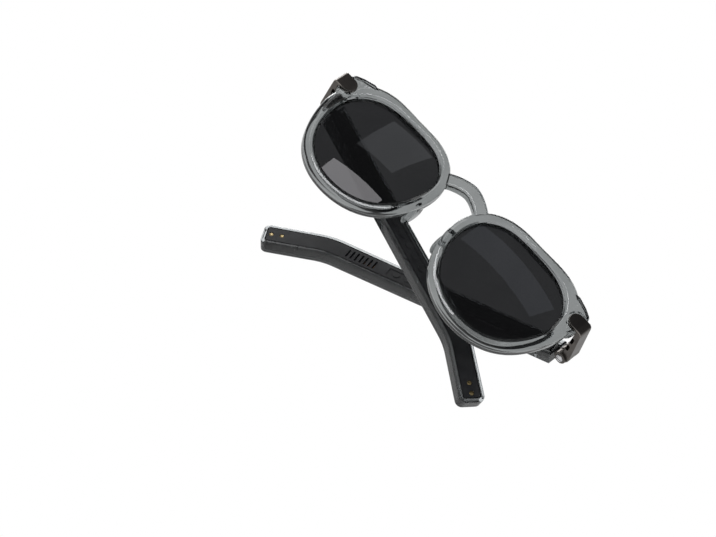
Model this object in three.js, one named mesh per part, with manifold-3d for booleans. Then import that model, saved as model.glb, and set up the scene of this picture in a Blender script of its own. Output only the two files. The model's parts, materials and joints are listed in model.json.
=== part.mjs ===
// Smart glasses: a plastic front with two tinted lenses, two metal hinge brackets and
// two folding temples that hold the battery, circuit board, speaker and microphone.
// Millimetres, +Z up as worn, +X towards the wearer's left, -Y the way the wearer looks.
// The front is built round a datum midway between the lenses, then the whole group is
// moved so that its origin is the bottom centre of its box.

import * as THREE from 'three';
import { mergeVertices } from 'three/addons/utils/BufferGeometryUtils.js';
import Module from 'manifold-3d';

const wasm = await Module();
wasm.setup();

// Driving dimensions, in millimetres and degrees.
const GAP = 0.3; // clearance between touching pieces
const CUT = 1; // how far a cutting tool runs past the surface it opens

const LENS_SPACING = 69; // between the lens centres
const APERTURE_RADIUS = 23.5; // mean radius of the lens opening
const APERTURE_RISE = 1.2; // centre of the outline's polar formula above the datum
const APERTURE_STEPS = 56; // facets round one lens opening
const RIM_WIDTH = 4.3; // rim beside and below the lens
const BROW_WIDTH = 2.2; // extra rim at the upper outer corner
const BROW_ANGLE = 38; // direction of that corner from the lens centre
const RIM_DEPTH = 5.5;
const RIM_BEVEL = 1.1;
const INNER_BEVEL = 1.3; // sloped ring that leads down to the lens
const FRONT_CURVE = 1000; // front face follows x squared over this

const LENS_THICKNESS = 2;
const LENS_SEAT = 0.8; // how far the lens edge sits in its groove
const LENS_LIP = 0.9; // plastic in front of the lens edge
const LENS_BASE = 240; // lens face follows radius squared over this
const LENS_VERTEX = 0.6; // lens centre behind the front face datum

const BRIDGE_TOP = 22.9;
const BRIDGE_HEIGHT = 6.1;
const BRIDGE_DEPTH = 4;
const BRIDGE_SETBACK = 0.3;
const BRIDGE_BEVEL = 0.75;
const BRIDGE_LAP = 0.2; // how far the bridge's upper ends stop short of the lens openings
const NOSE_PAD_REACH = 3; // nose pad centre inside the lens opening's mean circle
const NOSE_PAD_Z = -2.5;
const NOSE_PAD_RADII = [2, 4.6, 6];

const END_WIDTH = 7.6; // lens opening's mean circle to the outer side of the end piece
const END_ABOVE = 2.3; // end piece above the bracket's pad
const END_BELOW = 2.7;

const PAD_INSET = 2.5; // outer side of the end piece to the centre of the pad's round end
const PAD_Z = 15.4;
const PAD_RADIUS = 3.3;
const PAD_THICKNESS = 1.5;
const PAD_PROUD = 0.4; // how far the pad stands out of the front face
const PAD_MARGIN = 0.9; // open groove round the pad
const ARM_THICKNESS = 2.4;
const ARM_FLARE = 1.5; // the arm's outer side leans out by this much towards the hinge
const ARM_WINDOW = 1.7; // depth of the two pockets in the arm's underside
const ANCHOR_SIZE = [3.2, 2.4, 5.2]; // metal insert behind the pad
const ANCHOR_SCREW_RADIUS = 0.8;
const ANCHOR_HEAD_RADIUS = 1.5;

const HINGE_INSET = 0.6; // hinge axis outside the arm's inner side
const HINGE_Y = 23;
const KNUCKLE_RADIUS = 2.6;
const KNUCKLE_HEIGHT = 2.6; // each of the three knuckles
const PIN_RADIUS = 0.9;
const PIN_HEAD_RADIUS = 1.7;
const PIN_HEAD_HEIGHT = 0.8;

const RIGHT_FOLD = 84.6; // from straight back, at rest
const CROSSING_GAP = 1.03; // between the crossed temples, in plan
const TEMPLE_OFFSET = 2.2; // temple centre plane outside the hinge axis
const TEMPLE_THICKNESS = 5.6;
const TEMPLE_FRONT_HEIGHT = 9.6;
const TEMPLE_TIP_HEIGHT = 10.6;
const TEMPLE_SLOPE = 13.3;
const EAR_BEND = 18.4;
const EAR_BEND_RADIUS = 30;
const TEMPLE_STRAIGHT = 104.9; // hinge axis to the bend's corner
const EAR_LENGTH = 26.5; // bend's corner to the tip
const TEMPLE_CLEARANCE = 0.8; // front end behind the knuckles
const TIP_CORNER = 2.4;
const TEMPLE_WALL = 1.5; // along the top, bottom and ends
const TEMPLE_FACE_WALL = 1.2; // the outer side
const COVER_THICKNESS = 1.2;
const SLOT_WIDTH = 0.8; // sound slots in the cover

const LEAF_THICKNESS = 1.4;
const LEAF_END = 15; // how far the leaf reaches into the temple
const LEAF_SCREW_BACK = 3.5; // leaf screw before the leaf's end
const LEAF_MARGIN = 0.5; // leaf's edges inside the room there is for the battery
const LEAF_SCREW_RADIUS = 0.6;
const LEAF_HEAD_RADIUS = 1.2;
const BOARD = { after: 4, length: 33, thickness: 0.8, side: 0.5 };
const BATTERY_SPACE = 2; // free length at each end of the battery
const SPEAKER = { length: 13, beforeBend: 3 };
const FLEX = { overBoard: 12, overSpeaker: 6, height: 2.6, thickness: 0.25 };
const TOUCH = { after: 7, length: 24, thickness: 0.25 };
const EDGE_MARGIN = 1; // touch strip and magnet are this much lower than the battery
const SWITCH = { length: 3, height: 1 };
const BUTTON = { after: 9, length: 8, side: 0.55, proud: 0.6, travel: 0.4, flange: 0.6 };
const MICROPHONE_AFTER = 1.8; // behind the leaf's end, as the light is
const MICROPHONE_RADIUS = 0.9;
const PORT_RADIUS = 0.5;
const LIGHT_AFTER = 5;
const LIGHT_RADIUS = 0.7;
const CONTACT_RADIUS = 0.9;
const CONTACT_FROM_TIP = 3.6; // first contact's centre to the temple's end
const CONTACT_PITCH = 4.2;
const MAGNET = { length: 7, behindContact: 0.8 };

// Values worked out from those above.
const LENS_X = LENS_SPACING / 2;
const LENS_TILT = (2 * LENS_X) / FRONT_CURVE;
const GROOVE = LENS_SEAT + GAP;
const NOSE_PAD_X = LENS_X - APERTURE_RADIUS - NOSE_PAD_REACH;
const END_OUTER = LENS_X + APERTURE_RADIUS + END_WIDTH;
const END_TOP = PAD_Z + PAD_RADIUS + END_ABOVE;
const END_BOTTOM = PAD_Z - PAD_RADIUS - END_BELOW;
const PAD_X = END_OUTER - PAD_INSET;
const PAD_FRONT = PAD_X ** 2 / FRONT_CURVE - PAD_PROUD;
const PAD_BACK = PAD_FRONT + PAD_THICKNESS;
const ARM_INNER = END_OUTER + GAP;
const ARM_OUTER = ARM_INNER + ARM_THICKNESS;
const ARM_BOTTOM = PAD_Z - PAD_RADIUS;
const ARM_TOP = PAD_Z + PAD_RADIUS;
const HINGE_X = ARM_INNER + HINGE_INSET;
const HINGE_Z = PAD_Z;
const MID_KNUCKLE = [HINGE_Z - KNUCKLE_HEIGHT / 2, HINGE_Z + KNUCKLE_HEIGHT / 2];
const BARREL_BOTTOM = MID_KNUCKLE[0] - GAP - KNUCKLE_HEIGHT;
const BARREL_TOP = MID_KNUCKLE[1] + GAP + KNUCKLE_HEIGHT;
const SLOPE = THREE.MathUtils.degToRad(TEMPLE_SLOPE);
const BEND = THREE.MathUtils.degToRad(EAR_BEND);
const TEMPLE_START = KNUCKLE_RADIUS + TEMPLE_CLEARANCE;
const TEMPLE_LENGTH = TEMPLE_STRAIGHT + EAR_LENGTH;
const BEND_START = TEMPLE_STRAIGHT - EAR_BEND_RADIUS * Math.tan(BEND / 2);
const TEMPLE_INNER = TEMPLE_OFFSET - TEMPLE_THICKNESS / 2;
const TEMPLE_OUTER = TEMPLE_OFFSET + TEMPLE_THICKNESS / 2;
const CAVITY_INNER = TEMPLE_INNER + COVER_THICKNESS + GAP;
const CAVITY_OUTER = TEMPLE_OUTER - TEMPLE_FACE_WALL;
const CAVITY_HEIGHT = TEMPLE_FRONT_HEIGHT - 2 * TEMPLE_WALL - 2 * GAP;
const BOARD_START = LEAF_END + BOARD.after;
const BOARD_END = BOARD_START + BOARD.length;
const BUTTON_START = LEAF_END + BUTTON.after;
const MICROPHONE_AT = LEAF_END + MICROPHONE_AFTER;
const LIGHT_AT = LEAF_END + LIGHT_AFTER;
const SPEAKER_START = BEND_START - SPEAKER.beforeBend - SPEAKER.length;
const BATTERY_START = BOARD_END + BATTERY_SPACE;
const BATTERY_INNER = CAVITY_INNER + FLEX.thickness + 0.15;
const FLEX_START = BOARD_END - FLEX.overBoard;

const smokePlastic = { color: 0x4b5156, roughness: 0.12, metalness: 0 };
const tintedLens = { color: 0x141517, roughness: 0.05, metalness: 0 };
const gunmetal = { color: 0x39352f, roughness: 0.38, metalness: 0.9 };
const brightSteel = { color: 0x9a9ca0, roughness: 0.25, metalness: 1 };
const blackPlastic = { color: 0x17181a, roughness: 0.45, metalness: 0 };
const goldPlate = { color: 0xc7a55a, roughness: 0.25, metalness: 1 };
const greenBoard = { color: 0x1d4a33, roughness: 0.5, metalness: 0.1 };
const cellFoil = { color: 0x8d9296, roughness: 0.4, metalness: 0.8 };
const amberFilm = { color: 0xa8702c, roughness: 0.45, metalness: 0 };
const lightPipe = { color: 0xdfe6ea, roughness: 0.2, metalness: 0 };

// Turns a closed geometry into a solid, with its faces pointing outwards.
function toSolid(geometry) {
  const bare = geometry.clone();
  bare.deleteAttribute('normal');
  bare.deleteAttribute('uv');
  const merged = mergeVertices(bare, 1e-4);
  const points = merged.attributes.position.array;
  const corners = merged.index.array;
  const kept = [];
  let volume = 0;
  const [a, b, c] = [new THREE.Vector3(), new THREE.Vector3(), new THREE.Vector3()];
  for (let i = 0; i < corners.length; i += 3) {
    const [p, q, r] = corners.slice(i, i + 3);
    if (p === q || q === r || r === p) continue;
    a.fromArray(points, 3 * p);
    b.fromArray(points, 3 * q);
    c.fromArray(points, 3 * r);
    volume += a.dot(b.clone().cross(c));
    kept.push([p, q, r]);
  }
  const triVerts = kept.flatMap(([p, q, r]) => (volume < 0 ? [p, r, q] : [p, q, r]));
  return new wasm.Manifold(new wasm.Mesh({
    numProp: 3,
    vertProperties: new Float32Array(points),
    triVerts: new Uint32Array(triVerts),
  }));
}

function toGeometry(solid) {
  const mesh = solid.getMesh();
  const geometry = new THREE.BufferGeometry();
  geometry.setAttribute('position', new THREE.BufferAttribute(new Float32Array(mesh.vertProperties), 3));
  geometry.setIndex(new THREE.BufferAttribute(new Uint32Array(mesh.triVerts), 1));
  return geometry;
}

// The same solid on the other side of the X = 0 plane.
function mirrored(solid) {
  return toSolid(toGeometry(solid).scale(-1, 1, 1));
}

function boxSolid(low, high) {
  const size = high.map((value, i) => value - low[i]);
  const middle = high.map((value, i) => (value + low[i]) / 2);
  return toSolid(new THREE.BoxGeometry(...size).translate(...middle));
}

// A cylinder with its axis along X, Y or Z, from one coordinate to another on that axis.
function rodSolid(axis, centre, radius, from, to, sides = 20) {
  const rod = new THREE.CylinderGeometry(radius, radius, to - from, sides);
  if (axis === 'x') rod.rotateZ(-Math.PI / 2);
  if (axis === 'z') rod.rotateX(Math.PI / 2);
  const middle = (from + to) / 2;
  const place = { x: [middle, ...centre], y: [centre[0], middle, centre[1]], z: [...centre, middle] };
  return toSolid(rod.translate(...place[axis]));
}

// Swaps an extrusion's axes so that a front outline is drawn in X and Z, and runs along Y.
function alongY(geometry) {
  const position = geometry.attributes.position;
  for (let i = 0; i < position.count; i += 1) {
    position.setXYZ(i, position.getX(i), position.getZ(i), position.getY(i));
  }
  return geometry;
}

// The same for a side outline drawn in Y and Z, which runs along X.
function alongX(geometry) {
  const position = geometry.attributes.position;
  for (let i = 0; i < position.count; i += 1) {
    position.setXYZ(i, position.getZ(i), position.getX(i), position.getY(i));
  }
  return geometry;
}

// An extrusion whose bevel stays inside its outline and its depth.
function extruded(shape, from, to, bevel = 0, curveSegments = 8) {
  const geometry = new THREE.ExtrudeGeometry(shape, {
    depth: to - from - 2 * bevel,
    bevelEnabled: bevel > 0,
    bevelThickness: bevel,
    bevelSize: bevel,
    bevelOffset: -bevel,
    bevelSegments: 1,
    curveSegments,
  });
  return geometry.translate(0, 0, from + bevel);
}

// Sets the vertices of a closed ring of sections: place(section point, angle) is each one's place.
function ringSolid(pointCount, place, closed) {
  const rows = closed ? pointCount + 1 : pointCount;
  const profile = Array.from({ length: rows }, (_, j) => new THREE.Vector2(1 + j, j));
  const geometry = new THREE.LatheGeometry(profile, APERTURE_STEPS);
  const position = geometry.attributes.position;
  for (let i = 0; i <= APERTURE_STEPS; i += 1) {
    const angle = (2 * Math.PI * (i % APERTURE_STEPS)) / APERTURE_STEPS;
    for (let j = 0; j < rows; j += 1) {
      position.setXYZ(i * rows + j, ...place(j % pointCount, angle));
    }
  }
  return toSolid(geometry);
}

// Radius of the lens opening at an angle from the wearer's outer side, a soft panto shape.
function apertureRadius(angle) {
  const shape = 0.048 * Math.cos(2 * angle) + 0.052 * Math.sin(3 * angle)
    + 0.006 * Math.sin(2 * angle) - 0.026 * Math.cos(4 * angle);
  return APERTURE_RADIUS * (1 + shape);
}

function rimWidth(angle) {
  const towardsBrow = Math.cos(angle - THREE.MathUtils.degToRad(BROW_ANGLE));
  return RIM_WIDTH + BROW_WIDTH * Math.max(0, towardsBrow) ** 5;
}

const frontFace = (x) => x ** 2 / FRONT_CURVE;

function lensFace(x, z) {
  const across = x - LENS_X;
  return LENS_VERTEX + (across ** 2 + z ** 2) / LENS_BASE + across * LENS_TILT;
}

// A point on the left lens's side: distance out from the opening's edge, then depth
// behind the front face or behind the lens face.
function rimPoint(angle, radius, surface, depth) {
  const x = LENS_X + radius * Math.cos(angle);
  const z = APERTURE_RISE + radius * Math.sin(angle);
  const y = surface === 'lens' ? lensFace(x, z) + depth : frontFace(x) + depth;
  return [x, y, z];
}

function rimSolid() {
  const section = [
    ['inner', 0, 'lens', -LENS_LIP],
    ['inner', INNER_BEVEL, 'front', 0],
    ['outer', -RIM_BEVEL, 'front', 0],
    ['outer', 0, 'front', RIM_BEVEL],
    ['outer', 0, 'front', RIM_DEPTH - RIM_BEVEL],
    ['outer', -RIM_BEVEL, 'front', RIM_DEPTH],
    ['inner', RIM_BEVEL / 2, 'front', RIM_DEPTH],
    ['inner', 0, 'front', RIM_DEPTH - RIM_BEVEL / 2],
  ];
  return ringSolid(section.length, (j, angle) => {
    const [edge, out, surface, depth] = section[j];
    const start = edge === 'inner' ? 0 : rimWidth(angle);
    return rimPoint(angle, apertureRadius(angle) + start + out, surface, depth);
  }, true);
}

// A disc that follows the lens surfaces: the lens itself, or the groove that holds it.
function lensSolid(edgeOut, front, back) {
  const section = [[0, front], [0.5, front], [1, front], [1, back], [0.5, back], [0, back]];
  return ringSolid(section.length, (j, angle) => {
    const [share, depth] = section[j];
    return rimPoint(angle, share * (apertureRadius(angle) + edgeOut), 'lens', depth);
  }, false);
}

function endPieceSolid() {
  const shape = new THREE.Shape();
  shape.moveTo(END_OUTER - 5.4, END_BOTTOM - 4);
  shape.lineTo(END_OUTER - 2.2, END_BOTTOM - 0.8);
  shape.quadraticCurveTo(END_OUTER, END_BOTTOM + 1, END_OUTER, END_BOTTOM + 3.4);
  shape.lineTo(END_OUTER, END_TOP - 2);
  shape.quadraticCurveTo(END_OUTER, END_TOP, END_OUTER - 1.2, END_TOP + 0.4);
  shape.lineTo(END_OUTER - 4.1, END_TOP + 1.7);
  shape.lineTo(END_OUTER - 8.6, END_TOP + 3.1);
  shape.lineTo(END_OUTER - 13, END_TOP + 4.3);
  shape.lineTo(END_OUTER - 7.4, END_TOP - 1.5);
  shape.lineTo(END_OUTER - 5.6, END_BOTTOM + 2.6);
  const geometry = alongY(extruded(shape, 0, RIM_DEPTH, RIM_BEVEL * 0.8, 5));
  const position = geometry.attributes.position;
  for (let i = 0; i < position.count; i += 1) {
    position.setY(i, position.getY(i) + frontFace(position.getX(i)));
  }
  return toSolid(geometry);
}

function bridgeSolid() {
  const under = BRIDGE_TOP - BRIDGE_HEIGHT;
  const arch = (points, level) => new THREE.SplineCurve(
    points.map(([x, drop]) => new THREE.Vector2(x, level - drop)),
  ).getPoints(10);
  const reach = LENS_X - APERTURE_RADIUS - BRIDGE_LAP;
  const bend = 0.555 * reach;
  const inset = 0.852 * reach;
  const [upper, lower] = [[0.157 * reach, 0.435 * reach], [0.204 * reach, 0.49 * reach]];
  const top = arch(
    [[-reach, upper[1]], [-bend, upper[0]], [0, 0], [bend, upper[0]], [reach, upper[1]]], BRIDGE_TOP,
  );
  const bottom = arch(
    [[inset, lower[1]], [bend, lower[0]], [0, 0], [-bend, lower[0]], [-inset, lower[1]]], under,
  );
  const shape = new THREE.Shape([...top, ...bottom]);
  const depth = [BRIDGE_SETBACK, BRIDGE_SETBACK + BRIDGE_DEPTH];
  return toSolid(alongY(extruded(shape, ...depth, Math.min(BRIDGE_BEVEL, 0.07 * reach))));
}

function nosePadSolid() {
  const pad = new THREE.SphereGeometry(1, 16, 12);
  pad.scale(...NOSE_PAD_RADII);
  return toSolid(pad.translate(NOSE_PAD_X, RIM_DEPTH + 1, NOSE_PAD_Z));
}

// The bracket's pad as seen from the front: a round end that runs on to the outer side.
function padShape(margin, outer) {
  const radius = PAD_RADIUS + margin;
  const shape = new THREE.Shape();
  shape.moveTo(outer, PAD_Z + radius);
  shape.lineTo(PAD_X, PAD_Z + radius);
  shape.absarc(PAD_X, PAD_Z, radius, Math.PI / 2, 1.5 * Math.PI, false);
  shape.lineTo(outer, PAD_Z - radius);
  return shape;
}

const anchorY = [PAD_BACK + GAP + 1.2 + GAP, PAD_BACK + 1.2 + 2 * GAP + ANCHOR_SIZE[1]];

function frontFrame() {
  const half = rimSolid()
    .add(endPieceSolid())
    .add(nosePadSolid())
    .subtract(lensSolid(GROOVE, -GAP, LENS_THICKNESS + GAP));
  const recess = toSolid(alongY(extruded(padShape(PAD_MARGIN, END_OUTER + CUT), -CUT, PAD_BACK + GAP)));
  const [width, , height] = ANCHOR_SIZE;
  const pocket = boxSolid(
    [PAD_X - width / 2 - GAP, anchorY[0] - GAP, PAD_Z - height / 2 - GAP],
    [PAD_X + width / 2 + GAP, frontFace(END_OUTER) + RIM_DEPTH + CUT, PAD_Z + height / 2 + GAP],
  );
  const hole = rodSolid('y', [PAD_X, PAD_Z], ANCHOR_SCREW_RADIUS + GAP, PAD_BACK, anchorY[0]);
  const cutHalf = half.subtract(recess).subtract(pocket).subtract(hole);
  return cutHalf.add(mirrored(cutHalf)).add(bridgeSolid());
}

// The bracket in one piece: pad, side arm with two pockets, and the outer knuckles.
function bracketSolid() {
  const pad = toSolid(alongY(extruded(padShape(0, ARM_OUTER - CUT), PAD_FRONT, PAD_BACK, 0.25)));
  const arm = new THREE.Shape();
  arm.moveTo(ARM_INNER, PAD_FRONT);
  arm.lineTo(ARM_OUTER - 1.6, PAD_FRONT);
  arm.quadraticCurveTo(ARM_OUTER, PAD_FRONT, ARM_OUTER + 0.1, PAD_FRONT + 2.2);
  arm.lineTo(ARM_OUTER + ARM_FLARE, HINGE_Y - 1.5);
  arm.quadraticCurveTo(ARM_OUTER + ARM_FLARE, HINGE_Y + 1.6, HINGE_X + KNUCKLE_RADIUS * 0.7, HINGE_Y + 1.6);
  arm.lineTo(ARM_INNER, HINGE_Y);
  const armSolid = toSolid(extruded(arm, ARM_BOTTOM, ARM_TOP, 0.3, 5));
  const barrel = rodSolid('z', [HINGE_X, HINGE_Y], KNUCKLE_RADIUS, BARREL_BOTTOM, BARREL_TOP, 24);
  const middle = rodSolid(
    'z', [HINGE_X, HINGE_Y], KNUCKLE_RADIUS + GAP, MID_KNUCKLE[0] - GAP, MID_KNUCKLE[1] + GAP, 24,
  );
  const behind = boxSolid(
    [HINGE_X - KNUCKLE_RADIUS - CUT, HINGE_Y - LEAF_THICKNESS, MID_KNUCKLE[0] - GAP],
    [ARM_OUTER + ARM_FLARE + CUT, HINGE_Y + KNUCKLE_RADIUS + CUT, MID_KNUCKLE[1] + GAP],
  );
  const bore = rodSolid('z', [HINGE_X, HINGE_Y], PIN_RADIUS + 0.1, BARREL_BOTTOM - CUT, BARREL_TOP + CUT);
  const seat = rodSolid(
    'z', [HINGE_X, HINGE_Y], PIN_HEAD_RADIUS + 0.1, BARREL_BOTTOM - CUT, BARREL_BOTTOM + PIN_HEAD_HEIGHT / 2,
  );
  const windows = [0.36, 0.62].map((share) => {
    const middleY = PAD_FRONT + share * (HINGE_Y - PAD_FRONT);
    return boxSolid(
      [ARM_INNER - CUT, middleY - 1.7, ARM_BOTTOM - CUT],
      [ARM_INNER + ARM_THICKNESS * 0.6, middleY + 1.7, ARM_BOTTOM + ARM_WINDOW],
    );
  });
  let bracket = pad.add(armSolid).add(barrel).subtract(middle).subtract(behind).subtract(bore).subtract(seat);
  windows.forEach((window) => {
    bracket = bracket.subtract(window);
  });
  return bracket;
}

function anchorSolid() {
  const [width, , height] = ANCHOR_SIZE;
  const block = boxSolid(
    [PAD_X - width / 2, anchorY[0], PAD_Z - height / 2],
    [PAD_X + width / 2, anchorY[1], PAD_Z + height / 2],
  );
  return block.subtract(
    rodSolid('y', [PAD_X, PAD_Z], ANCHOR_SCREW_RADIUS + 0.1, anchorY[0] - CUT, anchorY[1] + CUT),
  );
}

function anchorScrewSolid() {
  const shank = rodSolid('y', [PAD_X, PAD_Z], ANCHOR_SCREW_RADIUS, PAD_BACK + GAP, anchorY[1] + 0.4);
  return shank.add(rodSolid(
    'y', [PAD_X, PAD_Z], ANCHOR_HEAD_RADIUS, anchorY[1] + 0.1, anchorY[1] + 0.9,
  ));
}

// Hinge screw: its head is underneath and its tip ends flush with the top knuckle.
function hingeScrewSolid() {
  const headTop = BARREL_BOTTOM + PIN_HEAD_HEIGHT / 2 - 0.1;
  const shank = rodSolid('z', [HINGE_X, HINGE_Y], PIN_RADIUS, headTop - 0.2, BARREL_TOP - 0.1);
  const head = rodSolid('z', [HINGE_X, HINGE_Y], PIN_HEAD_RADIUS, headTop - PIN_HEAD_HEIGHT, headTop);
  const slot = boxSolid(
    [HINGE_X - PIN_HEAD_RADIUS - CUT, HINGE_Y - 0.25, headTop - PIN_HEAD_HEIGHT - CUT],
    [HINGE_X + PIN_HEAD_RADIUS + CUT, HINGE_Y + 0.25, headTop - PIN_HEAD_HEIGHT / 2],
  );
  return shank.add(head).subtract(slot);
}

// A point of the temple's middle line, and its direction, at a distance from the hinge axis.
function templePath(distance) {
  const bendLength = EAR_BEND_RADIUS * BEND;
  const along = (start, angle, length) => [
    start[0] + length * Math.cos(angle),
    start[1] - length * Math.sin(angle),
  ];
  if (distance <= BEND_START) return { point: along([0, 0], SLOPE, distance), angle: SLOPE };
  const corner = along([0, 0], SLOPE, BEND_START);
  const turned = Math.min((distance - BEND_START) / bendLength, 1) * BEND;
  const chord = 2 * EAR_BEND_RADIUS * Math.sin(turned / 2);
  const onArc = along(corner, SLOPE + turned / 2, chord);
  const past = Math.max(0, distance - BEND_START - bendLength);
  return { point: along(onArc, SLOPE + turned, past), angle: SLOPE + turned };
}

// A point beside the middle line: up is across the temple, positive towards its top edge.
function besideTemple(distance, up) {
  const { point, angle } = templePath(distance);
  return new THREE.Vector2(point[0] + up * Math.sin(angle), point[1] + up * Math.cos(angle));
}

// Side outline of the temple, drawn inwards by an inset. Its front end stands upright.
function templeShape(inset, start = TEMPLE_START + inset, end = TEMPLE_LENGTH - inset) {
  const radius = Math.max(TIP_CORNER - inset, 0.5);
  const halfHeight = (distance) => {
    const share = distance / TEMPLE_LENGTH;
    return (TEMPLE_FRONT_HEIGHT + (TEMPLE_TIP_HEIGHT - TEMPLE_FRONT_HEIGHT) * share) / 2 - inset;
  };
  const stations = [TEMPLE_STRAIGHT * 0.5, TEMPLE_STRAIGHT - 6, TEMPLE_STRAIGHT - 3,
    TEMPLE_STRAIGHT, TEMPLE_STRAIGHT + 3, TEMPLE_STRAIGHT + 6, end - radius]
    .filter((distance) => distance > start && distance <= end - radius);
  if (stations.length === 0) stations.push(end - radius);
  const front = halfHeight(start);
  const frontPoint = (up) => besideTemple((start - up * Math.sin(SLOPE)) / Math.cos(SLOPE), up);
  const edge = (side) => stations.map((distance) => besideTemple(distance, side * halfHeight(distance)));
  const top = [frontPoint(front), ...edge(1)];
  const bottom = [frontPoint(-front), ...edge(-1)];
  bottom.reverse();
  const corner = (turn) => [1, 2, 3].map((k) => {
    const angle = (k * Math.PI) / 8;
    const out = end - radius + radius * Math.sin(angle);
    const up = halfHeight(end) - radius + radius * Math.cos(angle);
    return besideTemple(out, turn * up);
  });
  const tipTop = besideTemple(end, halfHeight(end) - radius);
  const tipBottom = besideTemple(end, radius - halfHeight(end));
  const points = [...top, ...corner(1), tipTop, tipBottom, ...corner(-1).reverse(), ...bottom];
  return new THREE.Shape(points);
}

// A block inside the straight part: lengthwise from the hinge axis, across, and outwards.
function templeBlock(start, length, low, high, inner, outer) {
  const shape = new THREE.Shape([
    besideTemple(start, low), besideTemple(start + length, low),
    besideTemple(start + length, high), besideTemple(start, high),
  ]);
  return toSolid(alongX(extruded(shape, inner, outer)));
}

function templeRod(distance, radius, inner, outer, sides = 16) {
  return rodSolid('x', besideTemple(distance, 0).toArray(), radius, inner, outer, sides);
}

const templeHalf = TEMPLE_FRONT_HEIGHT / 2;
const leafInner = TEMPLE_OFFSET - LEAF_THICKNESS / 2;
const leafOuter = TEMPLE_OFFSET + LEAF_THICKNESS / 2;
const leafSocket = LEAF_END + 1; // the cavity is shallower up to here, to hold the leaf's screw
const buttonBottom = -templeHalf - BUTTON.proud;
const flangeBottom = -templeHalf + TEMPLE_WALL + 0.1;
const buttonThickness = CAVITY_OUTER - CAVITY_INNER - 2 * BUTTON.side;
const buttonMiddle = (CAVITY_OUTER + CAVITY_INNER) / 2;
const leafScrewAt = LEAF_END - LEAF_SCREW_BACK;
const switchBottom = flangeBottom + BUTTON.flange + BUTTON.travel + 0.1;
const contactEnd = CAVITY_INNER + 0.6;
const contactPlaces = [CONTACT_FROM_TIP, CONTACT_FROM_TIP + CONTACT_PITCH]
  .map((back) => TEMPLE_LENGTH - back);

function templeShellSolid(withButton) {
  const outside = toSolid(alongX(extruded(templeShape(0), TEMPLE_INNER, TEMPLE_OUTER, 0.6)));
  const cavity = toSolid(alongX(extruded(
    templeShape(TEMPLE_WALL, leafSocket), TEMPLE_INNER - CUT, CAVITY_OUTER,
  )));
  const leafCavity = toSolid(alongX(extruded(
    templeShape(TEMPLE_WALL, TEMPLE_START + TEMPLE_WALL, leafSocket + 2), TEMPLE_INNER - CUT, leafOuter + GAP,
  )));
  const mouth = boxSolid(
    [leafInner - GAP, 0, -KNUCKLE_HEIGHT / 2 - GAP - 0.8],
    [leafOuter + GAP, TEMPLE_START + TEMPLE_WALL + CUT, KNUCKLE_HEIGHT / 2 + GAP],
  );
  const screwHole = templeRod(leafScrewAt, LEAF_SCREW_RADIUS + 0.1, leafOuter, TEMPLE_OUTER - 0.5);
  const port = templeBlock(
    MICROPHONE_AT - PORT_RADIUS, 2 * PORT_RADIUS, -templeHalf - CUT, -templeHalf + TEMPLE_WALL + CUT,
    TEMPLE_OFFSET - PORT_RADIUS, TEMPLE_OFFSET + PORT_RADIUS,
  );
  let shell = outside;
  [cavity, leafCavity, mouth, screwHole, port].forEach((space) => {
    shell = shell.subtract(space);
  });
  if (withButton) {
    shell = shell.subtract(templeBlock(
      BUTTON_START - GAP, BUTTON.length + 2 * GAP, -templeHalf - CUT, -templeHalf + TEMPLE_WALL + CUT,
      buttonMiddle - buttonThickness / 2 - GAP, buttonMiddle + buttonThickness / 2 + GAP,
    ));
  }
  return shell;
}

// The inner face: a plate let into the shell, with sound slots, a light hole and contact holes.
function coverSolid() {
  const plate = toSolid(alongX(extruded(
    templeShape(TEMPLE_WALL + GAP), TEMPLE_INNER, TEMPLE_INNER + COVER_THICKNESS, 0.2,
  )));
  let cover = plate.subtract(templeRod(LIGHT_AT, LIGHT_RADIUS + 0.1, TEMPLE_INNER - CUT, CAVITY_INNER));
  [0.3, 0.5, 0.7].forEach((share) => {
    const middle = SPEAKER_START + share * SPEAKER.length;
    cover = cover.subtract(templeBlock(
      middle - SLOT_WIDTH / 2, SLOT_WIDTH, -2, 2, TEMPLE_INNER - CUT, CAVITY_INNER,
    ));
  });
  contactPlaces.forEach((distance) => {
    cover = cover.subtract(templeRod(distance, CONTACT_RADIUS + 0.1, TEMPLE_INNER - CUT, CAVITY_INNER));
  });
  return cover;
}

// The middle knuckle and the tongue that is screwed inside the temple.
function leafSolid() {
  const knuckle = rodSolid('z', [0, 0], KNUCKLE_RADIUS, -KNUCKLE_HEIGHT / 2, KNUCKLE_HEIGHT / 2, 24);
  const neck = boxSolid(
    [0.6, 0, -KNUCKLE_HEIGHT / 2],
    [leafOuter, TEMPLE_START + TEMPLE_WALL + 1.5, KNUCKLE_HEIGHT / 2],
  );
  const neckTrim = boxSolid(
    [0, KNUCKLE_RADIUS + 0.2, -KNUCKLE_HEIGHT],
    [leafInner, TEMPLE_START + TEMPLE_WALL + 2 * CUT, KNUCKLE_HEIGHT],
  );
  const tongueStart = TEMPLE_START + TEMPLE_WALL + 3 * GAP;
  const half = CAVITY_HEIGHT / 2 + GAP - LEAF_MARGIN - 2 * GAP;
  const tongue = templeBlock(tongueStart, LEAF_END - tongueStart, -half, half, leafInner, leafOuter);
  return knuckle.add(neck).subtract(neckTrim).add(tongue)
    .subtract(rodSolid('z', [0, 0], PIN_RADIUS + 0.1, -KNUCKLE_HEIGHT, KNUCKLE_HEIGHT))
    .subtract(templeRod(leafScrewAt, LEAF_SCREW_RADIUS + 0.1, leafInner - CUT, leafOuter + CUT));
}

function leafScrewSolid() {
  const head = [CAVITY_INNER - 0.1, leafInner - 0.1];
  const shankStart = (head[0] + head[1]) / 2;
  return templeRod(leafScrewAt, LEAF_SCREW_RADIUS, shankStart, TEMPLE_OUTER - 0.8)
    .add(templeRod(leafScrewAt, LEAF_HEAD_RADIUS, ...head));
}

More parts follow.
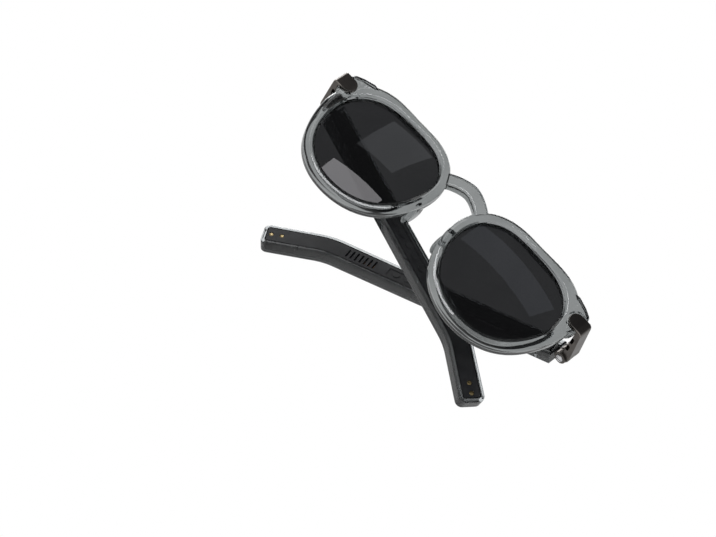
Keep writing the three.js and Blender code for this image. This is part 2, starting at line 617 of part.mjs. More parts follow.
// A flat piece centred across the temple.
function flatPiece(start, end, height, inner, outer) {
  return templeBlock(start, end - start, -height / 2, height / 2, inner, outer);
}

// The board lies above the button and its switch.
function boardSolid() {
  const low = switchBottom + SWITCH.height + GAP;
  const outer = CAVITY_OUTER - BOARD.side;
  return templeBlock(
    BOARD_START, BOARD.length, low, CAVITY_HEIGHT / 2 - 0.1, outer - BOARD.thickness, outer,
  );
}

function microphoneSolid() {
  const low = -templeHalf + TEMPLE_WALL + 0.1;
  return templeBlock(
    MICROPHONE_AT - MICROPHONE_RADIUS, 2 * MICROPHONE_RADIUS, low, low + 1,
    TEMPLE_OFFSET - MICROPHONE_RADIUS, TEMPLE_OFFSET + MICROPHONE_RADIUS,
  ).subtract(templeBlock(
    MICROPHONE_AT - PORT_RADIUS, 2 * PORT_RADIUS, low - CUT, low + 0.5,
    TEMPLE_OFFSET - PORT_RADIUS, TEMPLE_OFFSET + PORT_RADIUS,
  ));
}

function contactSolid(distance) {
  return templeRod(distance, CONTACT_RADIUS, TEMPLE_INNER + 0.1, contactEnd)
    .add(templeRod(distance, CONTACT_RADIUS + 0.4, CAVITY_INNER + 0.1, contactEnd));
}

function magnetSolid() {
  const middle = TEMPLE_LENGTH - CONTACT_FROM_TIP - CONTACT_PITCH / 2;
  const halfLength = MAGNET.length / 2;
  const halfHeight = (CAVITY_HEIGHT - EDGE_MARGIN) / 2;
  const shape = new THREE.Shape([
    [-halfLength, -halfHeight], [halfLength, -halfHeight],
    [halfLength, halfHeight], [-halfLength, halfHeight],
  ].map(([back, up]) => besideTemple(middle + back, up)));
  return toSolid(alongX(extruded(shape, contactEnd + MAGNET.behindContact, CAVITY_OUTER - 0.1)));
}

function buttonSolid() {
  const cap = templeBlock(
    BUTTON_START, BUTTON.length, buttonBottom, flangeBottom + 0.2,
    buttonMiddle - buttonThickness / 2, buttonMiddle + buttonThickness / 2,
  );
  const flange = templeBlock(
    BUTTON_START - 0.8, BUTTON.length + 1.6, flangeBottom, flangeBottom + BUTTON.flange,
    buttonMiddle - buttonThickness / 2 - 0.3, buttonMiddle + buttonThickness / 2 + 0.3,
  );
  return cap.add(flange);
}

function switchSolid() {
  return templeBlock(
    BUTTON_START + (BUTTON.length - SWITCH.length) / 2, SWITCH.length,
    switchBottom, switchBottom + SWITCH.height,
    buttonMiddle - buttonThickness / 2, buttonMiddle + buttonThickness / 2,
  );
}

function addMesh(group, name, solid, look, side = 1) {
  const placed = side < 0 ? mirrored(solid) : solid;
  const mesh = new THREE.Mesh(toGeometry(placed), new THREE.MeshStandardMaterial(look));
  mesh.name = name;
  group.add(mesh);
  return mesh;
}

function addFrontSide(group, label, side) {
  addMesh(group, `${label}_lens`, lensSolid(LENS_SEAT, 0, LENS_THICKNESS), tintedLens, side);
  addMesh(group, `${label}_hinge_bracket`, bracketSolid(), gunmetal, side);
  addMesh(group, `${label}_bracket_anchor`, anchorSolid(), brightSteel, side);
  addMesh(group, `${label}_anchor_screw`, anchorScrewSolid(), brightSteel, side);
  addMesh(group, `${label}_hinge_screw`, hingeScrewSolid(), brightSteel, side);
}

function addTemple(group, label, side, fold) {
  const temple = new THREE.Group();
  temple.position.set(side * HINGE_X, HINGE_Y, HINGE_Z);
  temple.rotation.z = side * THREE.MathUtils.degToRad(fold);
  group.add(temple);
  const isRight = side < 0;
  const add = (name, solid, look) => addMesh(temple, `${label}_${name}`, solid, look, side);
  add('temple_shell', templeShellSolid(isRight), smokePlastic);
  add('temple_cover', coverSolid(), blackPlastic);
  add('hinge_leaf', leafSolid(), gunmetal);
  add('leaf_screw', leafScrewSolid(), brightSteel);
  const outer = CAVITY_OUTER - 0.1;
  const batteryEnd = SPEAKER_START - BATTERY_SPACE;
  add('battery', flatPiece(BATTERY_START, batteryEnd, CAVITY_HEIGHT, BATTERY_INNER, outer), cellFoil);
  add('circuit_board', boardSolid(), greenBoard);
  const speakerEnd = SPEAKER_START + SPEAKER.length;
  add('speaker', flatPiece(SPEAKER_START, speakerEnd, CAVITY_HEIGHT, BATTERY_INNER, outer), blackPlastic);
  const flexEnd = SPEAKER_START + FLEX.overSpeaker;
  const flexOuter = CAVITY_INNER + FLEX.thickness;
  add('flex_cable', flatPiece(FLEX_START, flexEnd, FLEX.height, CAVITY_INNER, flexOuter), amberFilm);
  add('microphone', microphoneSolid(), brightSteel);
  add('charging_magnet', magnetSolid(), brightSteel);
  add('status_light', templeRod(LIGHT_AT, LIGHT_RADIUS, TEMPLE_INNER + 0.1, CAVITY_INNER + 0.5), lightPipe);
  contactPlaces.forEach((distance, i) => {
    add(`charging_contact_${i + 1}`, contactSolid(distance), goldPlate);
  });
  if (isRight) {
    add('action_button', buttonSolid(), blackPlastic);
    add('button_switch', switchSolid(), brightSteel);
  } else {
    const touchStart = LEAF_END + TOUCH.after;
    const touchOuter = CAVITY_OUTER - 0.05;
    const touchInner = touchOuter - TOUCH.thickness;
    const touchHeight = CAVITY_HEIGHT - EDGE_MARGIN;
    add('touch_strip', flatPiece(
      touchStart, touchStart + TOUCH.length, touchHeight, touchInner, touchOuter,
    ), amberFilm);
  }
}

// The left temple's fold at rest: it lies behind the right one, a clearance away where the
// two bars stop overlapping as seen from the front.
function leftFold() {
  const crossing = (TEMPLE_FRONT_HEIGHT + TEMPLE_TIP_HEIGHT) / (4 * Math.sin(SLOPE));
  const lean = THREE.MathUtils.degToRad(90 - RIGHT_FOLD);
  const behindRight = (HINGE_X + crossing) * Math.tan(lean) + TEMPLE_THICKNESS + CROSSING_GAP;
  return 90 - THREE.MathUtils.radToDeg(Math.atan(behindRight / (HINGE_X - crossing)));
}

const glasses = new THREE.Group();
addMesh(glasses, 'front_frame', frontFrame(), smokePlastic);
addFrontSide(glasses, 'right', -1);
addFrontSide(glasses, 'left', 1);
addTemple(glasses, 'right', -1, RIGHT_FOLD);
addTemple(glasses, 'left', 1, leftFold());

glasses.updateMatrixWorld(true);
const extent = new THREE.Box3().setFromObject(glasses, true);
const middle = extent.getCenter(new THREE.Vector3());
glasses.position.set(-middle.x, -middle.y, -extent.min.z);

export default glasses;
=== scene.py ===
import json
import math

import bmesh
import bpy
from mathutils import Matrix, Quaternion, Vector


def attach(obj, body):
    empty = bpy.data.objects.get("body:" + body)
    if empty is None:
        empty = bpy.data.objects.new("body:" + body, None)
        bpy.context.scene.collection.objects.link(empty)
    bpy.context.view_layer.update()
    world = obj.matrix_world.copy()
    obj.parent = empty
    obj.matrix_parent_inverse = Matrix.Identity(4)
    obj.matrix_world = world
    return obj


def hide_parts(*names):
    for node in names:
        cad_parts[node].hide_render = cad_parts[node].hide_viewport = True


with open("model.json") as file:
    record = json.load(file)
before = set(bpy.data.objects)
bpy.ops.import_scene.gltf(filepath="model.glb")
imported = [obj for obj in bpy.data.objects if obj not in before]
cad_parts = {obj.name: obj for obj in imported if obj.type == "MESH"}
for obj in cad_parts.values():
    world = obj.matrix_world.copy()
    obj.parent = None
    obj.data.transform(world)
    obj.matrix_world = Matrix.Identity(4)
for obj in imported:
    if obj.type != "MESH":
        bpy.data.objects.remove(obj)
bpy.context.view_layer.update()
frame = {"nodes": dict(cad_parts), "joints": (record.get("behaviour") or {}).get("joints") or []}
print("nodes:", len(frame["nodes"]))

# %% [markdown]
# The glasses are a see-through plastic front with two dark lenses, two metal hinge brackets
# and two temples. The front was designed round a datum midway between the lenses, on the
# front face, and the hinge axes were placed from it. So the datum is found again from the
# left hinge, and everything below is drawn in millimetres from it, as on a drawing.

# %% The datum
MM = 0.001
HINGE = Vector((66.5, 23.0, 15.4))
joints = {joint["name"]: joint for joint in frame["joints"]}
left_hinge = Vector(joints["left_temple_fold"]["pos_m"])
datum = left_hinge - HINGE * MM
LEFT_FOLD = max(joints["left_temple_fold"]["range_deg"])
RIGHT_FOLD = 84.6
TO_METRES = Matrix.Translation(datum) @ Matrix.Scale(MM, 4)
print("datum in mm:", [round(v / MM, 3) for v in datum], "left fold:", LEFT_FOLD)

# %% [markdown]
# The camera looks up at the folded glasses from below and a little from the wearer's left,
# and it is rolled, so that the front runs from the upper left to the lower right. A turn
# about one axis holds all three angles. The long lens keeps the perspective flat.

# %% The camera
LOOK_TURN = Vector((0.8585, 0.5976, 0.6293))
LOOK_FROM = Vector((200.2, -749.8, -510.5))
FOCAL_LENGTH = 125.81


def in_scene(name, data):
    made = bpy.data.objects.new(name, data)
    bpy.context.scene.collection.objects.link(made)
    return made


to_lens = Quaternion(LOOK_TURN.normalized(), LOOK_TURN.length).to_matrix()
axes = to_lens.transposed() @ Matrix.Diagonal(Vector((1, -1, -1)))
camera = in_scene("camera", bpy.data.cameras.new("camera"))
camera.matrix_world = Matrix.Translation(datum + LOOK_FROM * MM) @ axes.to_4x4()
camera.data.sensor_width = 36
camera.data.lens = FOCAL_LENGTH
camera.data.clip_start, camera.data.clip_end = 0.05, 20
bpy.context.scene.camera = camera
print("camera at mm:", [round(v / MM) for v in camera.matrix_world.translation])

# %% [markdown]
# Shader maths is easier to read as ordinary maths. This class holds one output socket of a
# node tree: adding to it or multiplying it makes the Math node, and `node` makes any other
# node from its type, its settings and its inputs. `blank_tree` empties the tree of a
# material or a world, and gives the value to start from.


# %% Shader maths in Python
class Shade:
    def __init__(self, tree, socket=None):
        self.tree, self.socket = tree, socket

    def node(self, kind, settings=None, inputs=None, out=0):
        made = self.tree.nodes.new(kind)
        for key, value in (settings or {}).items():
            setattr(made, key, value)
        for key, value in (inputs or {}).items():
            if isinstance(value, Shade):
                self.tree.links.new(value.socket, made.inputs[key])
            else:
                made.inputs[key].default_value = value
        return Shade(self.tree, made.outputs[out])

    def maths(self, operation, a, b):
        return self.node("ShaderNodeMath", {"operation": operation}, {0: a, 1: b})

    def __add__(self, other):
        return self.maths("ADD", self, other)

    def __rsub__(self, other):
        return self.maths("SUBTRACT", other, self)

    def __mul__(self, other):
        return self.maths("MULTIPLY", self, other)

    def mix(self, low, high):
        """A colour between two, by this value."""
        return self.node("ShaderNodeMix", {"data_type": "RGBA"}, {0: self, 6: low, 7: high}, out=2)


def blank_tree(owner):
    owner.use_nodes = True
    owner.node_tree.nodes.clear()
    return Shade(owner.node_tree)


OBJECT_PLACE, GENERATED_PLACE = 3, 0
GLOSSY_RAY, TRANSMISSION_RAY = 3, 6
print("shader maths ready:", [name for name in vars(Shade) if not name.startswith("__")])

# %% [markdown]
# Every finish starts the same way: one Principled shader, Object coordinates in metres, and
# two noises on them. A slow one gives the uneven polish and colour that handling leaves, a
# fine one gives the surface texture of the mould or of the machining. The recipe below
# takes the differences between finishes as plain numbers.


# %% A recipe for finishes
def finish(name, colour, colour_2, rough, rough_2, slow=180, fine=2600, bump=0.1, depth=0.02,
           stretch=(1, 1, 1), **settings):
    made = bpy.data.materials.new(name)
    start = blank_tree(made)
    place = start.node("ShaderNodeTexCoord", out=OBJECT_PLACE)
    laid = start.node("ShaderNodeMapping", {}, {0: place, 3: stretch})
    cloud = start.node("ShaderNodeTexNoise", {}, {"Vector": laid, "Scale": slow, "Detail": 3.0})
    grain = start.node("ShaderNodeTexNoise", {}, {"Vector": laid, "Scale": fine, "Detail": 2.0})
    spread = cloud.node("ShaderNodeMapRange", {}, {0: cloud, 1: 0.35, 2: 0.65})
    base = spread.mix((*colour, 1), (*colour_2, 1))
    shine = spread * (rough_2 - rough) + rough
    lift = {"Strength": bump, "Distance": depth * MM, "Height": grain}
    tilt = start.node("ShaderNodeBump", {}, lift)
    inputs = {"Base Color": base, "Roughness": shine, "Normal": tilt, **settings}
    surface = start.node("ShaderNodeBsdfPrincipled", {}, inputs)
    end = start.tree.nodes.new("ShaderNodeOutputMaterial")
    start.tree.links.new(surface.socket, end.inputs["Surface"])
    return made


# %% [markdown]
# The front and the temple shells are moulded in smoke-grey see-through plastic. Real tinted
# plastic darkens with thickness, so in the front part of the grey is the shader's colour
# and part is absorption inside. The temples' skin is thin and lighter, and has no
# absorption. The surfaces are polished, with only a trace of waviness.

# %% See-through plastics
MOULDED = {"slow": 90, "fine": 300, "bump": 0.03, "depth": 0.05, "IOR": 1.47,
           "Transmission Weight": 1.0}
smoke_plastic = finish("smoke_plastic", (0.30, 0.310, 0.311), (0.34, 0.350, 0.350), 0.015, 0.035,
                       **MOULDED)
smoke = Shade(smoke_plastic.node_tree).node(
    "ShaderNodeVolumeAbsorption", {}, {"Color": (0.62, 0.645, 0.65, 1), "Density": 110},
)
ends = [n for n in smoke.tree.nodes if n.bl_idname == "ShaderNodeOutputMaterial"]
smoke.tree.links.new(smoke.socket, ends[0].inputs["Volume"])
clear_skin = finish("clear_skin", (0.52, 0.545, 0.555), (0.57, 0.595, 0.603), 0.015, 0.035,
                    **MOULDED)
tinted_lens = finish(
    "tinted_lens", (0.019, 0.0195, 0.0205), (0.022, 0.0225, 0.0235), 0.0, 0.02, slow=60, fine=140,
    bump=0.02, depth=0.05, **{"IOR": 1.5, "Transmission Weight": 1.0},
)
light_pipe = finish(
    "light_pipe", (0.8, 0.85, 0.88), (0.9, 0.93, 0.95), 0.1, 0.2,
    **{"IOR": 1.49, "Transmission Weight": 0.7},
)
print("clear finishes:", smoke_plastic.name, clear_skin.name, tinted_lens.name, light_pipe.name)

# %% [markdown]
# The metals differ in colour and in the direction of their grain. The brackets are satin
# dark gunmetal, brushed along their height, and their edges are broken and polished bright.

# %% Metals
METAL = {"Metallic": 1.0}
gunmetal = finish("gunmetal", (0.085, 0.077, 0.072), (0.13, 0.118, 0.108), 0.30, 0.42, slow=240,
                  fine=1400, bump=0.12, depth=0.03, stretch=(1, 1, 0.12), **METAL)
edge_metal = finish("polished_edge", (0.30, 0.28, 0.26), (0.42, 0.39, 0.36), 0.16, 0.26, **METAL)
bright_steel = finish("bright_steel", (0.56, 0.56, 0.58), (0.66, 0.66, 0.67), 0.18, 0.3, slow=500,
                      fine=3000, bump=0.08, stretch=(1, 0.2, 1), **METAL)
gold_contact = finish("gold_contact", (0.72, 0.53, 0.24), (0.83, 0.66, 0.36), 0.16, 0.3, **METAL)
cell_foil = finish("cell_foil", (0.50, 0.52, 0.54), (0.60, 0.62, 0.63), 0.28, 0.45, slow=350,
                   fine=900, bump=0.3, depth=0.08, **METAL)
print("metals:", [m.name for m in (gunmetal, edge_metal, bright_steel, gold_contact, cell_foil)])

# %% Opaque plastics
black_plastic = finish("black_plastic", (0.009, 0.0095, 0.011), (0.014, 0.0145, 0.016), 0.36, 0.5,
                       slow=260, fine=7000, bump=0.35, depth=0.03)
core_paint = finish("core_paint", (0.007, 0.0075, 0.0085), (0.010, 0.0105, 0.012), 0.27, 0.33,
                    slow=120, fine=5000, bump=0.04)
board_laminate = finish("board_laminate", (0.012, 0.07, 0.035), (0.03, 0.13, 0.06), 0.3, 0.45,
                        slow=900, fine=2500, bump=0.3)
amber_film = finish("amber_film", (0.30, 0.13, 0.025), (0.42, 0.20, 0.05), 0.22, 0.35)
gauze_steel = finish("gauze_steel", (0.16, 0.16, 0.17), (0.24, 0.24, 0.25), 0.3, 0.4, **METAL)
print("opaque finishes made:", len(bpy.data.materials), "materials so far")

# %% [markdown]
# Shapes are built as closed solids in millimetres. `solid` makes one from points and faces,
# `slab` pushes an outline through a thickness and rounds its edges with bmesh's bevel, and
# `merge` joins or cuts two of them with the manifold boolean solver, which keeps the result
# closed. `baked` turns modifiers into plain mesh, so nothing live is left behind.


# %% Solids and booleans
def solid(name, points, faces):
    mesh = bpy.data.meshes.new(name)
    mesh.from_pydata([tuple(p) for p in points], [], faces)
    body = bmesh.new()
    body.from_mesh(mesh)
    bmesh.ops.recalc_face_normals(body, faces=body.faces)
    body.to_mesh(mesh)
    body.free()
    return in_scene(name, mesh)


def baked(obj):
    view = bpy.context.evaluated_depsgraph_get()
    mesh = bpy.data.meshes.new_from_object(obj.evaluated_get(view))
    obj.modifiers.clear()
    obj.data = mesh
    return obj


def merge(obj, tool, how="UNION"):
    step = obj.modifiers.new("merge", "BOOLEAN")
    step.solver, step.operation, step.object = "MANIFOLD", how, tool
    baked(obj)
    bpy.data.objects.remove(tool)
    return obj


DRAWN = {
    "front": lambda a, b, along: (a, along, b),
    "plan": lambda a, b, along: (a, b, along),
    "side": lambda a, b, along: (along, a, b),
}


def slab(name, outline, span, drawn, rounding=0.0, segments=3):
    body = bmesh.new()
    turn = DRAWN[drawn]
    ends = [[body.verts.new(turn(a, b, at)) for a, b in outline] for at in span]
    caps = [body.faces.new(ends[0]), body.faces.new(ends[1])]
    for i, corner in enumerate(ends[0]):
        j = (i + 1) % len(outline)
        body.faces.new((corner, ends[0][j], ends[1][j], ends[1][i]))
    bmesh.ops.recalc_face_normals(body, faces=body.faces)
    if rounding:
        rims = list({edge for cap in caps for edge in cap.edges})
        bmesh.ops.bevel(body, geom=rims, offset=rounding, segments=segments, profile=0.5,
                        affect="EDGES", clamp_overlap=False)
    mesh = bpy.data.meshes.new(name)
    body.to_mesh(mesh)
    body.free()
    return in_scene(name, mesh)


def rod(name, centre, radius, span, drawn="plan", sides=48, rounding=0.0):
    ring = [(centre[0] + radius * math.cos(2 * math.pi * i / sides),
             centre[1] + radius * math.sin(2 * math.pi * i / sides)) for i in range(sides)]
    return slab(name, ring, span, drawn, rounding, 2)


def block(name, low, high, rounding=0.0):
    outline = [(low[0], low[1]), (high[0], low[1]), (high[0], high[1]), (low[0], high[1])]
    return slab(name, outline, (low[2], high[2]), "plan", rounding, 2)


def arc(centre, radius, start, end, count):
    angles = [math.radians(start + (end - start) * i / count) for i in range(count + 1)]
    return [(centre[0] + radius * math.cos(a), centre[1] + radius * math.sin(a)) for a in angles]


def between_rings(rings, count):
    """The faces that join a stack of closed rings, each of the same count of points."""
    return [(r * count + i, r * count + (i + 1) % count, (r + 1) * count + (i + 1) % count,
             (r + 1) * count + i) for r in range(rings - 1) for i in range(count)]


print("solid makers ready; outlines can be drawn in these views:", list(DRAWN))

# %% [markdown]
# A finished piece has its place in its mesh, faces that point out and smooth shading with
# the real edges left crisp. Its normals are weighted by area so that flats stay flat. The
# clear front and the lenses do without that, because such normals bend what shows through
# them. Then the piece rides on its body, stands for its CAD node and names its finish.


# %% Finishing a piece
SIDES = (("right", -1), ("left", 1))


def mirrored(obj):
    twin = in_scene(obj.name + "_twin", obj.data.copy())
    twin.data.transform(Matrix.Scale(-1, 4, Vector((1, 0, 0))))
    twin.data.flip_normals()
    return twin


def on_side(obj, side):
    """The piece itself for the left side, its mirror image for the right."""
    if side > 0:
        return obj
    twin = mirrored(obj)
    bpy.data.objects.remove(obj)
    return twin


def settle(obj, name, body, nodes, materials, place=TO_METRES, sharp=33, pick=None,
           weigh=True):
    obj.name, obj.data.name = name, name
    obj.data.materials.clear()
    for material in materials:
        obj.data.materials.append(material)
    if pick:
        for face in obj.data.polygons:
            face.material_index = pick(face)
    obj.data.transform(place)
    if place.determinant() < 0:
        obj.data.flip_normals()
    obj.data.shade_smooth()
    obj.data.set_sharp_from_angle(angle=math.radians(sharp))
    if weigh:
        even = obj.modifiers.new("even", "WEIGHTED_NORMAL")
        even.keep_sharp = True
        baked(obj)
    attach(obj, body)
    if nodes:
        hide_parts(*nodes)
    print(name, "faces:", len(obj.data.polygons), "on", body)
    return obj


# %% [markdown]
# The lens opening is a soft panto shape, wider at the brow. A circle with a few cosine
# terms draws it: the angle starts at the wearer's outer side. The rim keeps an even width
# except at the upper outer corner, where it grows into the end piece.

# %% The rim's rule
LENS_X, RISE, OPENING, RIM, DEPTH = 34.5, 1.2, 23.5, 4.28, 5.5
BROW_ANGLE, BROW_GROWTH = 38, 2.2
FRONT_BOW, LENS_BOW, LENS_TILT, LENS_SETBACK, LENS_THICK = 1000, 240, 0.069, 0.6, 2.0
STEPS = 384


def opening(angle):
    shape = 0.048 * math.cos(2 * angle) + 0.052 * math.sin(3 * angle)
    return OPENING * (1 + shape + 0.006 * math.sin(2 * angle) - 0.026 * math.cos(4 * angle))


def rim_width(angle):
    return RIM + BROW_GROWTH * max(0.0, math.cos(angle - math.radians(BROW_ANGLE))) ** 5


def front_face(x):
    return x * x / FRONT_BOW


def lens_face(x, z):
    across = x - LENS_X
    return LENS_SETBACK + (across ** 2 + z ** 2) / LENS_BOW + across * LENS_TILT


def rim_point(angle, radius, surface, depth):
    x, z = LENS_X + radius * math.cos(angle), RISE + radius * math.sin(angle)
    return (x, (lens_face(x, z) if surface == "lens" else front_face(x)) + depth, z)


print("opening across:", round(opening(0) + opening(math.pi), 1), "mm")

# %% [markdown]
# The rim's section is drawn once and carried round the opening: a sloped ring that leads
# down to the lens, a front that rounds off in a wide curve towards the outer edge, a
# smaller curve at the back, and the groove that holds the lens. Away from the end piece
# the curve in front leaves almost no flat, so light draws one soft band along the rim.


# %% The rim
def quarter(wide, deep, depth, turn):
    """A rounded outer corner of the section: turn 1 is at the front, -1 at the back."""
    steps = [math.radians(a) for a in (0, 8, 16, 24, 33, 42, 52, 64, 77, 90)]
    points = [("outer", wide * (math.sin(t) - 1), "front", depth + turn * deep * (1 - math.cos(t)))
              for t in steps]
    return points if turn > 0 else points[::-1]


section = [
    ("inner", 0, "lens", -0.3), ("inner", 0, "lens", -0.85), ("inner", 0.08, "lens", -0.93),
    ("inner", 1.15, "front", 0.10), ("inner", 1.3, "front", 0.025), ("inner", 1.5, "front", 0),
    *quarter(2.6, 1.7, 0, 1), ("outer", 0, "front", 2.0), ("outer", 0, "front", DEPTH - 1.8),
    *quarter(1.8, 1.5, DEPTH, -1), ("inner", 1.0, "front", DEPTH),
    ("inner", 0.5, "front", DEPTH), ("inner", 0.15, "front", DEPTH - 0.15),
    ("inner", 0, "front", DEPTH - 0.5), ("inner", 0, "lens", LENS_THICK + 0.3),
    ("inner", 1.1, "lens", LENS_THICK + 0.3), ("inner", 1.1, "lens", -0.3),
]
points, faces = [], []
for i in range(STEPS):
    angle = 2 * math.pi * i / STEPS
    for edge, out, surface, depth in section:
        start = 0 if edge == "inner" else rim_width(angle)
        points.append(rim_point(angle, opening(angle) + start + out, surface, depth))
for i in range(STEPS):
    for j in range(len(section)):
        k, n, m = (i + 1) % STEPS, len(section), (j + 1) % len(section)
        faces.append((i * n + j, k * n + j, k * n + m, i * n + m))
half = solid("half_front", points, faces)
print("rim:", len(section), "points in the section,", len(faces), "faces")

# %% [markdown]
# The end piece carries the hinge bracket. It is an outline in the front view with rounded
# edges, and its points are pushed back to follow the front's curve. The nose pad is moulded
# on the back of the rim: a smooth oval body made of rings from its top to its bottom.

# %% End piece and nose pad
END_OUTER, PAD_Z, PAD_RADIUS = 65.6, 15.4, 3.3
PAD_X = END_OUTER - 2.5
PAD_FRONT = front_face(PAD_X) - 0.4
PAD_BACK = PAD_FRONT + 1.5
TOP, BOTTOM = PAD_Z + PAD_RADIUS + 2.3, PAD_Z - PAD_RADIUS - 2.7
end_outline = [
    (END_OUTER - 5.0, BOTTOM - 4), (END_OUTER - 2.2, BOTTOM - 0.8),
    (END_OUTER - 1.1, BOTTOM + 0.2),
    (END_OUTER - 0.3, BOTTOM + 1.6), (END_OUTER, BOTTOM + 3.4), (END_OUTER, TOP - 2.0),
    (END_OUTER - 0.15, TOP - 1.0), (END_OUTER - 0.5, TOP - 0.2), (END_OUTER - 1.2, TOP + 0.4),
    (END_OUTER - 4.1, TOP + 1.7), (END_OUTER - 8.6, TOP + 2.9), (END_OUTER - 13, TOP + 2.2),
    (END_OUTER - 7.4, TOP - 1.5), (END_OUTER - 5.6, BOTTOM + 2.6),
]
end_piece = slab("end_piece", end_outline, (0, DEPTH), "front", 0.9, 4)
for vertex in end_piece.data.vertices:
    vertex.co.y += front_face(vertex.co.x)
merge(half, end_piece)
NOSE = Vector((8, DEPTH + 1, -2.5))
NOSE_WIDE, NOSE_DEEP, NOSE_TALL = 2, 4.6, 6
rows, turns = 12, 24
pad_points = []
for r in range(1, rows):
    ring, height = math.sin(math.pi * r / rows), NOSE_TALL * math.cos(math.pi * r / rows)
    for t in range(turns):
        turn = 2 * math.pi * t / turns
        pad_points.append((NOSE.x + NOSE_WIDE * ring * math.cos(turn),
                           NOSE.y + NOSE_DEEP * ring * math.sin(turn), NOSE.z + height))
pad_points += [(NOSE.x, NOSE.y, NOSE.z + NOSE_TALL), (NOSE.x, NOSE.y, NOSE.z - NOSE_TALL)]
pad_faces = between_rings(rows - 1, turns)
top_at, bottom_at, last = len(pad_points) - 2, len(pad_points) - 1, (rows - 2) * turns
pad_faces += [(top_at, (t + 1) % turns, t) for t in range(turns)]
pad_faces += [(bottom_at, last + t, last + (t + 1) % turns) for t in range(turns)]
merge(half, solid("nose_pad", pad_points, pad_faces))
print("half front after joining:", len(half.data.polygons), "faces")


# %% Seat for the bracket
ANCHOR_FRONT, POCKET_WIDE, POCKET_TALL = PAD_BACK + 1.8, 1.9, 2.9


def pad_outline(margin, outer):
    radius = PAD_RADIUS + margin
    round_end = arc((PAD_X, PAD_Z), radius, 90, 270, 24)
    return [(outer, PAD_Z + radius), *round_end, (outer, PAD_Z - radius)]


def cut(obj, tool):
    return merge(obj, tool, "DIFFERENCE")


cut(half, slab("recess", pad_outline(0.9, END_OUTER + 1), (-1, PAD_BACK + 0.3), "front"))
cut(half, block("pocket", (PAD_X - POCKET_WIDE, ANCHOR_FRONT - 0.3, PAD_Z - POCKET_TALL),
                (PAD_X + POCKET_WIDE, front_face(END_OUTER) + DEPTH + 1, PAD_Z + POCKET_TALL)))
cut(half, rod("hole", (PAD_X, PAD_Z), 1.1, (PAD_BACK, ANCHOR_FRONT), "front", 24))
print("with its seat:", len(half.data.polygons), "faces")

# %% [markdown]
# The bridge is an arched bar a little thinner than the rims. Its two long edges are curves
# through five points each. A Catmull-Rom curve passes through its points, which makes such
# an arch easy to place, and a short function of it is enough here.


# %% The bridge
def through(points, count):
    ends = [points[0], *points, points[-1]]
    line = []
    for k in range(len(points) - 1):
        p0, p1, p2, p3 = (Vector(p) for p in ends[k:k + 4])
        for i in range(count):
            t = i / count
            bend = (2 * p0 - 5 * p1 + 4 * p2 - p3) * t * t + (3 * p1 - p0 - 3 * p2 + p3) * t ** 3
            line.append(tuple(0.5 * (2 * p1 + (p2 - p0) * t + bend)))
    return line + [tuple(points[-1])]


BRIDGE_TOP, BRIDGE_DEEP, BRIDGE_ROUND, BRIDGE_SETBACK = 22.9, 4.0, 0.95, 0.3
upper = through([(-10.8, 18.2), (-6, 21.2), (0, BRIDGE_TOP), (6, 21.2), (10.8, 18.2)], 6)
lower = through([(9.2, 11.5), (6, 14.6), (0, BRIDGE_TOP - 6.1), (-6, 14.6), (-9.2, 11.5)], 6)
rows = list(zip(upper, lower[::-1]))


def across_bridge(top, low):
    """One rounded section of the bar, between a point of its top edge and one of its lower."""
    top, low = Vector(top), Vector(low)
    down = (low - top).normalized()
    tall, deep, radius = (low - top).length, BRIDGE_DEEP, BRIDGE_ROUND
    line = []
    for corner, (s, y) in enumerate(((0, 0), (tall, 0), (tall, deep), (0, deep))):
        middle = (s + radius * (1 if s == 0 else -1), y + radius * (1 if y == 0 else -1))
        for k in range(6):
            t = math.radians(180 + 90 * corner + 18 * k)
            edge = top + down * (middle[0] + radius * math.cos(t))
            line.append((edge.x, BRIDGE_SETBACK + middle[1] + radius * math.sin(t), edge.y))
    return line


sections = [across_bridge(top, low) for top, low in rows]
count = len(sections[0])
points = [point for line in sections for point in line]
faces = []
for i in range(len(sections) - 1):
    here, there = i * count, (i + 1) * count
    faces += [(here + j, there + j, there + (j + 1) % count, here + (j + 1) % count)
              for j in range(count)]
faces += [tuple(range(count)), tuple(there + j for j in range(count))]
bridge = solid("bridge", points, faces)
print("bridge:", len(sections), "sections of", count, "points")

# %% The whole front
front = merge(merge(half, mirrored(half)), bridge)
settle(front, "smoke_front", "front", ["front_frame"], [smoke_plastic],
       sharp=28, weigh=False)

# %% [markdown]
# A lens is a thin dome. Rings of points from the middle to the edge follow the same face
# as the rim's groove, once for the front and once for the back, and a plain wall at the
# edge joins them inside the groove. Smooth shading on an even dome reflects cleanly.


# %% Lenses
LENS_IN_GROOVE = 0.8


def lens():
    shares = (0.12, 0.3, 0.5, 0.7, 0.85, 0.95, 1.0)
    rings = [(share, 0.0) for share in shares] + [(share, LENS_THICK) for share in shares[::-1]]
    pts = []
    for share, depth in rings:
        for i in range(STEPS):
            angle = 2 * math.pi * i / STEPS
            radius = share * (opening(angle) + LENS_IN_GROOVE)
            pts.append(rim_point(angle, radius, "lens", depth))
    quads = between_rings(len(rings), STEPS)
    middle = [(LENS_X, lens_face(LENS_X, RISE) + depth, RISE) for depth in (0.0, LENS_THICK)]
    first, last = len(pts), (len(rings) - 1) * STEPS
    quads += [(first, (i + 1) % STEPS, i) for i in range(STEPS)]
    quads += [(first + 1, last + i, last + (i + 1) % STEPS) for i in range(STEPS)]
    return solid("lens", pts + middle, quads)


for label, side in SIDES:
    settle(on_side(lens(), side), f"{label}_sun_lens", "front", [f"{label}_lens"],
           [tinted_lens], sharp=50, weigh=False)

# %% [markdown]
# The hinge bracket is one metal part: a pad let into the front face, an arm along the side
# and the two outer knuckles of the hinge. It is made of a few rounded solids joined
# together, then cut for the middle knuckle, the screw and the two pockets underneath. The
# narrow faces left by the rounding are picked out and given the polished edge finish.

